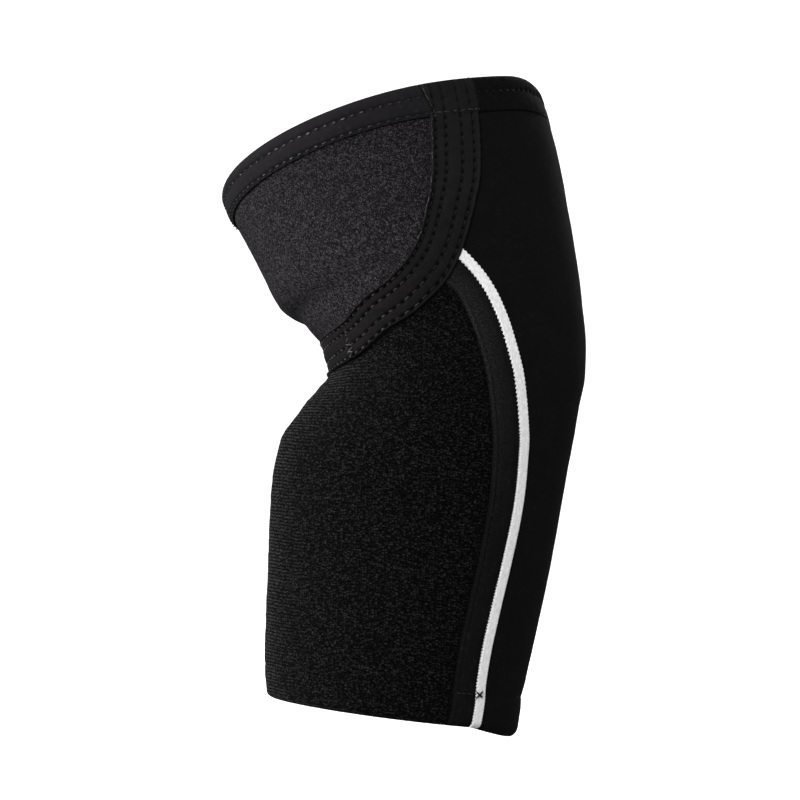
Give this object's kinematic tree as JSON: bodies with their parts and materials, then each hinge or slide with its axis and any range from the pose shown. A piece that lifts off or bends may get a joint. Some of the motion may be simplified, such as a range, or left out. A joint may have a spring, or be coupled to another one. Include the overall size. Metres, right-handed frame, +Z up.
{
  "type": "elbow brace",
  "caption": "Bent tubular elbow sleeve of knit and foam panels, with a stitched band round the crook, bound upper rim, side strips and flat piping, open at both ends.",
  "frame": {"origin": "the middle of the arm's axis at the elbow, where the arm sits in the sleeve", "axes": "+Z up the arm, +X to the back of the elbow, +Y to the far side, towards which the upper arm leans"},
  "size_m": [0.128, 0.1157, 0.2307],
  "materials": {
    "charcoal_knit": "fine charcoal knit, matt, flecked",
    "black_terry": "black loop knit, matt",
    "black_jersey": "smooth black jersey",
    "strip_jersey": "smooth black jersey strip",
    "band_jersey": "smooth stitched tape",
    "white_twill": "white flat twill tape",
    "charcoal_binding": "smooth charcoal binding",
    "black_binding": "smooth black binding"
  },
  "bodies": {
    "root": {"upper_front_panel": "charcoal_knit", "forearm_panel": "black_terry", "back_panel": "black_jersey", "side_strip_near": "strip_jersey", "side_strip_far": "strip_jersey", "elbow_band": "band_jersey", "piping_near": "white_twill", "piping_far": "white_twill", "top_hem_front": "charcoal_binding", "top_hem_back": "black_binding"}
  },
  "joints": []
}
